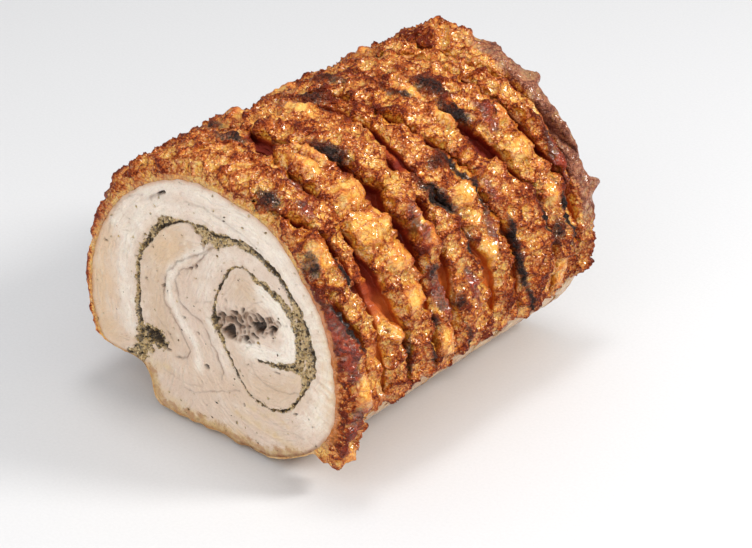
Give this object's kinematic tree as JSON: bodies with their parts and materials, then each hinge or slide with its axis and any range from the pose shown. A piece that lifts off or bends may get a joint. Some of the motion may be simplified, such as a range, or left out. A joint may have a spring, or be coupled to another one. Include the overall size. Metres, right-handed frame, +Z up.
{
  "type": "porchetta",
  "caption": "Rolled roast pork with a spiral herb filling, scored crackling all round, both ends sliced flat and a bare underside.",
  "frame": {"origin": "centre of the resting underside, midway between the two sliced ends", "axes": "+Y along the roll from the shown sliced face to the far one, +Z up, +X to the right when the shown sliced face is looked at"},
  "size_m": [0.1685, 0.18, 0.1451],
  "materials": {
    "crackling": "blistered golden brown rind, charred on its ridges, glossy with fat",
    "roast_meat": "moist cut pork, pale pinkish cream muscle with whiter bands of fat",
    "herb_paste": "moist olive paste with dark flecks of herb and pepper"
  },
  "bodies": {
    "root": {"pork_roll": "crackling", "herb_filling": "herb_paste"}
  },
  "joints": []
}
